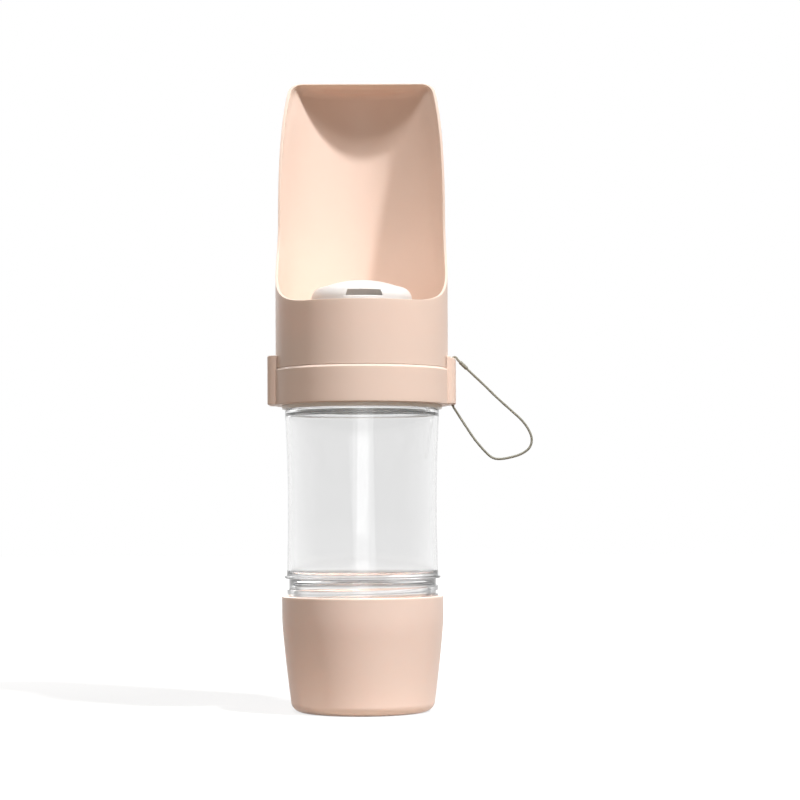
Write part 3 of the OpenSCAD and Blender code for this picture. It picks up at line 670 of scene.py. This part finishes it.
# ---------------------------------------------------------------- collar ring with its ears
def ear_block(side, drop):
    """One ear: an arc inside, rounded outer edges, and a top that may slope outwards."""
    inner, round_r, edge = TROUGH_R + 0.3, 2.8, 0.45
    outline = []   # x, y, and whether the point is on the outside
    for i in range(13):
        y = EAR_HALF - 2 * EAR_HALF * i / 12
        outline.append((math.sqrt(inner ** 2 - y ** 2), y, False))
    for cy, a0 in ((-EAR_HALF + round_r, -90), (EAR_HALF - round_r, 0)):
        for x, y in arc(EAR_X - round_r, cy, round_r, a0, a0 + 90):
            outline.append((x, y, True))
    low, high = RING_Z + 0.2, EAR_TOP
    turns = [math.pi / 2 * k / 3 for k in range(4)]
    levels = [(edge * (1 - math.sin(a)), low + edge * (1 - math.cos(a))) for a in turns]
    levels += [(edge * (1 - math.cos(a)), high - edge * (1 - math.sin(a))) for a in turns]
    slope_from = TROUGH_R - 1
    slope = drop / (EAR_X - slope_from)
    layers = []
    for inset, z in levels:
        layer = []
        for x, y, outer in outline:
            if inset:
                if abs(abs(y) - EAR_HALF) < 1.3:
                    y -= math.copysign(min(inset, abs(y)), y)
                x = x - inset if outer else math.sqrt(inner ** 2 - y ** 2)
            sunk = slope * max(x - slope_from, 0) if z > RING_TOP + 1 else 0
            layer.append((side * x, y, z - sunk))
        layers.append(layer)
    return stack("ear", layers)


def make_collar():
    """The ring with its ears: the right one slopes and has a notch that the cord lies in."""
    lathe = Lathe(192)
    inner, bevel, mid_high, mid_low = CAP_R + 0.1, 0.9, RING_TOP - 4, RING_Z + 2
    lathe.profile([(inner, mid_high), (inner, RING_TOP, 0.2), (RING_R - bevel, RING_TOP, 0.2),
                   (RING_R, RING_TOP - bevel, 0.25), (RING_R, mid_high), (RING_R, mid_low),
                   (RING_R, RING_Z, 0.5), (inner, RING_Z, 0.3), (inner, mid_low)])
    obj = lathe.build("collar_moulding", closed=True)
    for side, drop in ((-1, 0.0), (1, EAR_DROP)):
        combine(obj, ear_block(side, drop), "UNION")
    hole_r = 0.75
    holes = [cylinder(hole_r, RING_Z - 1, EAR_TOP + 2, (s * HOLE_X, 0), 32) for s in (-1, 1)]
    combine(obj, join_meshes("holes", holes), "DIFFERENCE")
    corners = ((HOLE_X, -hole_r), (HOLE_X + 6, -hole_r), (HOLE_X + 6, hole_r), (HOLE_X, hole_r))
    notch = stack("notch", [[(x, y, z) for x, y in corners] for z in (EAR_TOP - 1.8, EAR_TOP + 3)])
    combine(obj, notch, "DIFFERENCE")
    even_normals(obj)
    return obj


collar = make_collar()
dress(collar, pink)
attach(collar, "cap")
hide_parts("collar_ring")


# ---------------------------------------------------------------- trough
# the open front in the y-z plane: a level lip, an arc up from it, and a wide arc that leans back
SWEEP_Y = EDGE_BACK - SWEEP_R
LIP_Z = BASIN_Z + LIP_AT
SWEEP_Z = LIP_Z + SWEEP_R


def wall_limit(y, keep):
    """Height at which a wall line at this y meets the open front, moved back by keep."""
    if y <= SWEEP_Y:
        return LIP_Z - keep
    if y < EDGE_BACK + keep:
        return SWEEP_Z - math.sqrt(max((SWEEP_R + keep) ** 2 - (y - SWEEP_Y) ** 2, 0))
    inside = (LEAN_R - keep) ** 2 - (EDGE_BACK + LEAN_R - y) ** 2
    return SWEEP_Z + math.sqrt(max(inside, 0))


def solid_at(y, z, keep):
    """Whether the shell is there at this y and z, behind the open front."""
    if z <= SWEEP_Z:
        return z <= wall_limit(y, keep)
    return (y - EDGE_BACK - LEAN_R) ** 2 + (z - SWEEP_Z) ** 2 <= (LEAN_R - keep) ** 2


def column_points(alpha, depth, keep, turns, roof):
    """A line of the shell at angle alpha from the back, at a depth under its outer face: its
    radius, the height where the wall ends, and the points from there, turns round the top edge
    and roof inwards. The open front cuts it."""
    radius, top = TROUGH_R - depth, TOP_Z - depth
    bend = TOP_ROUND - (1 - 1 / TROUGH_WALL) * depth
    c = math.cos(alpha)
    straight, flat_r = top - bend, radius - bend
    limit = wall_limit(radius * c, keep)
    wall_end = min(limit, straight)
    bend_end = 0.0
    if limit > straight:
        bend_end = math.pi / 2
        if not solid_at(flat_r * c, top, keep):
            lo, hi = 0.0, math.pi / 2
            for _ in range(40):
                mid = (lo + hi) / 2
                y = (flat_r + bend * math.cos(mid)) * c
                if solid_at(y, straight + bend * math.sin(mid), keep):
                    lo = mid
                else:
                    hi = mid
            bend_end = lo
    points = [(radius, wall_end)] * (turns + roof)
    if bend_end:
        for k in range(1, turns + 1):
            a = bend_end * k / turns
            points[k - 1] = (flat_r + bend * math.cos(a), straight + bend * math.sin(a))
        points[turns:] = [points[turns - 1]] * roof
    if bend_end == math.pi / 2:
        y_cut = EDGE_BACK + LEAN_R - math.sqrt((LEAN_R - keep) ** 2 - (top - SWEEP_Z) ** 2)
        roof_end = min(y_cut / c, flat_r)
        points[turns:] = [(flat_r + (roof_end - radius + bend) * k / roof, top) for k in range(1, roof + 1)]
    return radius, wall_end, points


def rim_columns():
    """Angles from the back for the shell's columns: a new one after each 1.7 mm along the rim,
    or after 2.2 degrees where the rim runs level."""
    step, widest = 1.7, math.radians(2.2)
    fine = [math.pi * i / 2400 for i in range(2401)]
    rim = []
    for a in fine:
        r, z = column_points(a, 0.0, 0.0, 6, 1)[2][-1]
        rim.append((r * math.sin(a), r * math.cos(a), z))
    alphas, walked = [0.0], 0.0
    for i in range(1, len(fine)):
        walked += math.dist(rim[i], rim[i - 1])
        if walked >= step or fine[i] - alphas[-1] >= widest:
            alphas.append(fine[i])
            walked = 0.0
    alphas[-1] = math.pi
    return [-a for a in alphas[::-1][:-1]] + alphas


def make_boss(degrees):
    """A boss under the floor that takes one of the rotor's screws."""
    foot, top, bore, outer, at = 144.6, FLOOR_Z + 0.4, 1.0, 2.7, 23.4
    boss = Lathe(32)
    boss.profile([(bore, 148.0), (bore, foot, 0.15), (outer, foot, 0.25), (outer, top), (0.001, top)])
    boss.ring(0.001, 148.0)
    obj = boss.build("boss", closed=True)
    a = math.radians(degrees)
    obj.data.transform(Matrix.Translation(mm(at * math.cos(a), at * math.sin(a), 0)))
    return obj


def make_trough():
    """One shell, drawn as rings: the basin's floor, up the inner face, over the rim, down the
    outer face, and under the floor back to the hole in its middle."""
    around = rim_columns()
    count = len(around)
    inner_r, hole, floor_mid = TROUGH_R - TROUGH_WALL, 18.8, 23.0
    thin, roof_thin, taper = 1.1, 0.5, 5.0   # thickness at the rim, and how far below it that starts
    edge, outer_edge = 0.3, 0.12             # the rim's small roundings
    rows, turns, roof = 14, 8, 6
    rings = []

    def flat(r, z):
        rings.append([(r, z)] * count)

    def shell(depth, keep, upward, foot):
        columns = []
        for a in around:
            radius, end, bent = column_points(abs(a), depth, keep, turns, roof)
            columns.append([(radius, foot + (end - foot) * k / rows) for k in range(1, rows + 1)] + bent)
        indices = range(rows + turns + roof)
        for i in (indices if upward else reversed(indices)):
            rings.append([line[i] for line in columns])

    def rim_thickness(a):
        """Thickness of the rim: thin at the sides, and thinner still along the roof."""
        radius, _, points = column_points(a, 0.0, 0.0, turns, roof)
        inwards = min((radius - points[-1][0]) / TOP_ROUND, 1.0)
        return thin + (roof_thin - thin) * inwards

    thickness = {a: rim_thickness(abs(a)) for a in around}

    def rim_ring(depth_at, keep):
        lines = [column_points(abs(a), depth_at(thickness[a]), keep, turns, roof)[2] for a in around]
        rings.append([line[-1] for line in lines])

    # floor of the basin, from the middle out, and its rounding
    for r in (hole, floor_mid, inner_r - BASIN_ROUND):
        flat(r, BASIN_Z)
    for r, z in arc(inner_r - BASIN_ROUND, BASIN_Z + BASIN_ROUND, BASIN_ROUND, -90, 0, 7)[1:]:
        flat(r, z)
    # the inner face, which runs outwards towards the rim, the rim's small roundings, the outer face
    shell(TROUGH_WALL, taper, True, BASIN_Z + BASIN_ROUND)
    for share in (0.25, 0.5, 0.75, 1.0):
        lean = share * share * (3 - 2 * share)
        rim_ring(lambda t: TROUGH_WALL + (t - TROUGH_WALL) * lean, taper + (edge - taper) * share)
    for k in range(1, 4):
        a = math.pi / 2 * k / 4
        rim_ring(lambda t: t - edge * (1 - math.cos(a)), edge * (1 - math.sin(a)))
    rim_ring(lambda t: t - edge, 0.0)
    rim_ring(lambda t: outer_edge, 0.0)
    rim_ring(lambda t: outer_edge * 0.3, outer_edge * 0.3)
    foot = SKIRT_Z + 1.0
    shell(0.0, outer_edge, False, foot)
    # the skirt's foot, its inner face, and the underside of the floor
    flat(TROUGH_R, foot)
    for r, z in arc(TROUGH_R - 0.15, SKIRT_Z + 0.15, 0.15, 0, -90, 4):
        flat(r, z)
    for r, z in arc(SKIRT_IN + 0.2, SKIRT_Z + 0.2, 0.2, -90, -180, 3):
        flat(r, z)
    flat(SKIRT_IN, FLOOR_Z - 0.5)
    for r, z in arc(SKIRT_IN - 0.5, FLOOR_Z - 0.5, 0.5, 0, 90, 3)[1:]:
        flat(r, z)
    flat(floor_mid, FLOOR_Z)
    flat(hole, FLOOR_Z)
    verts = [(r * math.sin(a), r * math.cos(a), z) for ring in rings for a, (r, z) in zip(around, ring)]
    obj = new_object("trough_moulding", verts, grid_faces(len(rings), count - 1, closed=True))
    joined = join_meshes("trough_moulding", [obj] + [make_boss(30 + 120 * i) for i in range(3)])
    smooth(joined)
    even_normals(joined)
    return joined


trough = make_trough()
dress(trough, pink)
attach(trough, "trough_head")
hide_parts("trough")


# ---------------------------------------------------------------- outlet dome
def make_dome():
    lathe = Lathe(160)

    def outline(r, rounding, top):
        """Half an outline of the dome's top: a rounding and then a shallow crown."""
        rise = top - CROWN_H
        crown_r = ((r - rounding) ** 2 + CROWN_H ** 2) / (2 * CROWN_H)
        tilt = math.degrees(math.asin((r - rounding) / crown_r))
        return (arc(r - rounding, rise - rounding, rounding, 0, 90 - tilt, 10)
                + arc(0, top - crown_r, crown_r, 90 - tilt, 90, 16)[1:-1])

    in_r, in_top = DOME_R - DOME_WALL, DOME_H - DOME_WALL
    base = soften([(DOME_R - 0.3, 0.05), (DOME_R, 0.35, 0.2), (DOME_R, 4), (DOME_R, 8), (DOME_R, 12)])
    for r, z in base + outline(DOME_R, DOME_ROUND, DOME_H) + [(0.001, DOME_H), (0.001, in_top)]:
        lathe.ring(r, z)
    for r, z in outline(in_r, DOME_ROUND - DOME_WALL / 2, in_top)[::-1] + [(in_r, 8), (in_r, 0.05)]:
        lathe.ring(r, z)
    obj = lathe.build("outlet_moulding", closed=True)
    # sill below the slot: a flat lip that stands out a little
    step_z = SLOT_AT - SLOT_H / 2 - 0.35
    steps, back = 14, DOME_R - 0.6
    widest = math.asin((SLOT_W / 2 + 0.45) / DOME_R)
    sweep = [widest * (2 * i / steps - 1) for i in range(steps + 1)]
    layers = []
    for out, down in ((0.35, 1.8), (0.5, 1.6), (0.5, 0.12), (0.38, 0)):
        front, z = DOME_R + out, step_z - down
        layers.append([(front * math.sin(a), -front * math.cos(a), z) for a in sweep]
                      + [(back * math.sin(a), -back * math.cos(a), z) for a in sweep[::-1]])
    combine(obj, stack("sill", layers), "UNION")
    # the slot: wider at its foot than at its top, through the wall, and narrower behind
    low, high = step_z, SLOT_AT + SLOT_H / 2
    wide, narrow = SLOT_W / 2, SLOT_W / 2 - 0.8
    layers = []
    for y, slim, lower in ((-DOME_R - 2, 0, 0), (-DOME_R + 8, 0.5, 0.2)):
        layers.append([(-wide + slim, y, low), (wide - slim, y, low),
                       (narrow - slim, y, high - lower), (-narrow + slim, y, high - lower)])
    combine(obj, stack("slot", layers), "DIFFERENCE")
    # it stands on the basin's floor, turned a little
    obj.data.transform(Matrix.Translation(mm(0, 0, BASIN_Z)) @ Matrix.Rotation(math.radians(4), 4, "Z"))
    smooth(obj)
    even_normals(obj)
    return obj


dome = make_dome()
dress(dome, milky)
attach(dome, "trough_head")
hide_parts("outlet_dome")


# ---------------------------------------------------------------- pieces that keep their CAD mesh
for mat, nodes in (
    (silicone, ("food_cup_seal", "bottle_seal", "valve_gasket", "vent_valve", "floor_seal")),
    (steel, ("pivot_screw", "pivot_washer", "disc_spring", "rotor_screws")),
    (slide, ("guide_ring",)), (white, ("valve_rotor",)), (brass, ("brass_insert",)),
):
    for node in nodes:
        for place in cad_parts[node].material_slots:
            place.material = mat


# ---------------------------------------------------------------- floor, world and lamps
def seen_rays(graph):
    """1 for the rays that look at the studio, which shows white, and 0 for its light on things."""
    path = graph.add("ShaderNodeLightPath").outputs
    looks = graph.calc("MAXIMUM", path["Is Camera Ray"], path["Is Glossy Ray"])
    return graph.calc("MAXIMUM", looks, path["Is Transmission Ray"])


def stage_material(name, base, bounce_near, bounce_far, bounce_reach, glow, glow_reach):
    """Pale floor that keeps the object's shadow and fades to white away from it. The light that
    it throws back is warm, and strongest round the foot of the object. Reaches are in metres."""
    mat = bpy.data.materials.new(name)
    graph = Graph(mat)
    away = graph.add("ShaderNodeVectorMath", {0: graph.place()}, operation="LENGTH").outputs["Value"]
    seen = seen_rays(graph)
    bounce = graph.mix(graph.map_range(away, *bounce_reach, 0.0, 1.0), (*bounce_near, 1), (*bounce_far, 1))
    diffuse = graph.add("ShaderNodeBsdfDiffuse", {"Color": graph.mix(seen, bounce, (base, base, base, 1))})
    strength = graph.calc("MULTIPLY", graph.map_range(away, *glow_reach, *glow), seen)
    white_glow = graph.add("ShaderNodeEmission", {"Strength": strength})
    graph.output(graph.add("ShaderNodeAddShader", {0: diffuse.outputs[0], 1: white_glow.outputs[0]}))
    return mat


def make_stage():
    mesh = bpy.data.meshes.new("studio_floor")
    half = 3.0
    corners = [(-half, -half, 0), (half, -half, 0), (half, half, 0), (-half, half, 0)]
    mesh.from_pydata(corners, [], [(0, 1, 2, 3)])
    floor = add_object("studio_floor", mesh)
    mesh.materials.append(stage_material(
        "studio_floor", base=0.25, bounce_near=(0.55, 0.48, 0.42), bounce_far=(0.17, 0.12, 0.08),
        bounce_reach=(0.036, 0.08), glow=(0.78, 1.0), glow_reach=(0.12, 0.6)))


make_stage()


def make_world(ambient, tint):
    """White where it is looked at, with a low, warm light of its own."""
    world = bpy.data.worlds.new("studio")
    bpy.context.scene.world = world
    graph = Graph(world)
    seen = seen_rays(graph)
    graph.output(graph.add("ShaderNodeBackground", {
        "Color": graph.mix(seen, (*tint, 1), (1, 1, 1, 1)),
        "Strength": graph.map_range(seen, 0.0, 1.0, ambient, 1.0),
    }), "ShaderNodeOutputWorld")


def lamp(name, azimuth, elevation, distance, size, power, height=None, gloss_only=False):
    """A soft lamp that faces the object, round or, with a height, an upright panel. Angles are
    in degrees, the rest in metres and watts. Azimuth 0 is at the camera, and grows towards +X."""
    data = bpy.data.lights.new(name, "AREA")
    data.shape = "RECTANGLE" if height else "DISK"
    data.size = size
    if height:
        data.size_y = height
    data.energy = power
    obj = add_object(name, data)
    a, e = math.radians(azimuth), math.radians(elevation)
    toward = Vector((math.sin(a) * math.cos(e), -math.cos(a) * math.cos(e), math.sin(e)))
    middle = Vector((0, 0, 0.14))
    obj.location = middle + toward * distance
    obj.rotation_euler = toward.to_track_quat("Z", "Y").to_euler()
    obj.visible_diffuse = not gloss_only


make_world(0.09, (1.0, 0.72, 0.52))
# name, azimuth, elevation, distance, size, power
lamp("key_lamp", 52, 52, 2.6, 0.16, 68)
lamp("high_lamp", -14, 58, 2.6, 0.6, 27)
lamp("fill_lamp", 6, 8, 1.5, 0.9, 2.2)
lamp("back_lamp", -152, 22, 1.6, 0.8, 9)
lamp("strip_lamp", -1.5, 4, 1.2, 0.5, 1.3, height=1.1, gloss_only=True)

bpy.context.scene.view_settings.view_transform = "Standard"
